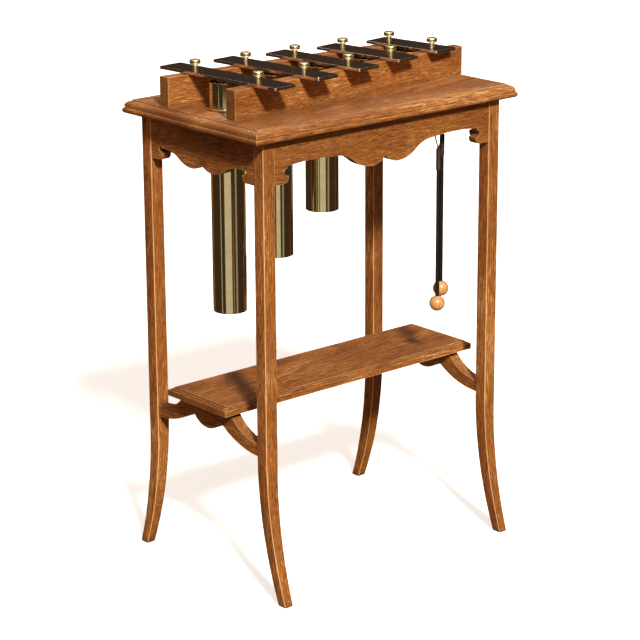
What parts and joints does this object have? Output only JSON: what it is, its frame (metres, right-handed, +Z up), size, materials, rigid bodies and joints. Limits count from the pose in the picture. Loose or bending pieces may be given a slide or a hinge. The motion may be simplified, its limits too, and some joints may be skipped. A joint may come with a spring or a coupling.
{
  "type": "xylophone on stand",
  "caption": "Oak table stand with converging rails, polished metal chime bars on knobbed brass pins, brass tube resonators, an undershelf and hanging beaters",
  "frame": {"origin": "centre of the floor rectangle that the whole stand covers, at floor level", "axes": "+X towards the stand's right end, where the shortest bar is; +Y towards the back; +Z up"},
  "size_m": [0.576, 0.396, 0.8713],
  "materials": {
    "oak": "oak, stained golden brown and waxed, satin, with dark pores and worn arrises",
    "brass": "polished lacquered brass",
    "bar_steel": "steel, ground flat and polished to a mirror, plated",
    "screw_steel": "plain steel wood screws",
    "felt": "thin dark pressed wool felt",
    "leather": "dark brown leather thong, worn",
    "ebonised_wood": "turned hardwood, stained black and polished",
    "boxwood": "turned pale boxwood, oiled, fine grained"
  },
  "bodies": {
    "stand": {"table_top": "oak", "leg_front_left": "oak", "leg_front_right": "oak", "leg_back_left": "oak", "leg_back_right": "oak", "apron_front": "oak", "apron_back": "oak", "apron_left": "oak", "apron_right": "oak", "glue_blocks": "oak", "top_screws": "screw_steel", "shelf": "oak", "stretcher_left": "oak", "stretcher_right": "oak", "shelf_screws": "screw_steel", "rail_front": "oak", "rail_rear": "oak", "rail_screws": "screw_steel", "bar_felts": "felt", "bar_pins_front": "brass", "bar_pins_rear": "brass", "resonator_1": "brass", "resonator_2": "brass", "resonator_3": "brass", "resonator_4": "brass", "resonator_5": "brass", "resonator_stop_1": "brass", "resonator_stop_2": "brass", "resonator_stop_3": "brass", "resonator_stop_4": "brass", "resonator_stop_5": "brass", "collar_1": "brass", "collar_2": "brass", "collar_3": "brass", "collar_4": "brass", "collar_5": "brass", "hook_1": "brass", "hook_2": "brass"},
    "bar_1": {"bar_1": "bar_steel"},
    "bar_2": {"bar_2": "bar_steel"},
    "bar_3": {"bar_3": "bar_steel"},
    "bar_4": {"bar_4": "bar_steel"},
    "bar_5": {"bar_5": "bar_steel"},
    "beater_1": {"beater_loop_1": "leather", "beater_binding_1": "leather", "beater_stick_1": "ebonised_wood", "beater_ball_1": "boxwood"},
    "beater_2": {"beater_loop_2": "leather", "beater_binding_2": "leather", "beater_stick_2": "ebonised_wood", "beater_ball_2": "boxwood"}
  },
  "joints": [
    {"name": "bar_1_lift", "type": "slide", "parent": "stand", "child": "bar_1", "axis": [0, 0, 1], "range_m": [0, 0.006]},
    {"name": "bar_2_lift", "type": "slide", "parent": "stand", "child": "bar_2", "axis": [0, 0, 1], "range_m": [0, 0.006]},
    {"name": "bar_3_lift", "type": "slide", "parent": "stand", "child": "bar_3", "axis": [0, 0, 1], "range_m": [0, 0.006]},
    {"name": "bar_4_lift", "type": "slide", "parent": "stand", "child": "bar_4", "axis": [0, 0, 1], "range_m": [0, 0.006]},
    {"name": "bar_5_lift", "type": "slide", "parent": "stand", "child": "bar_5", "axis": [0, 0, 1], "range_m": [0, 0.006]},
    {"name": "beater_1_swing", "type": "hinge", "parent": "stand", "child": "beater_1", "pos_m": [0.1455, -0.13, 0.747], "axis": [0, 1, 0], "range_deg": [0, 45]},
    {"name": "beater_2_swing", "type": "hinge", "parent": "stand", "child": "beater_2", "pos_m": [0.1612, -0.122, 0.769], "axis": [0, 1, 0], "range_deg": [-11, 0]}
  ]
}
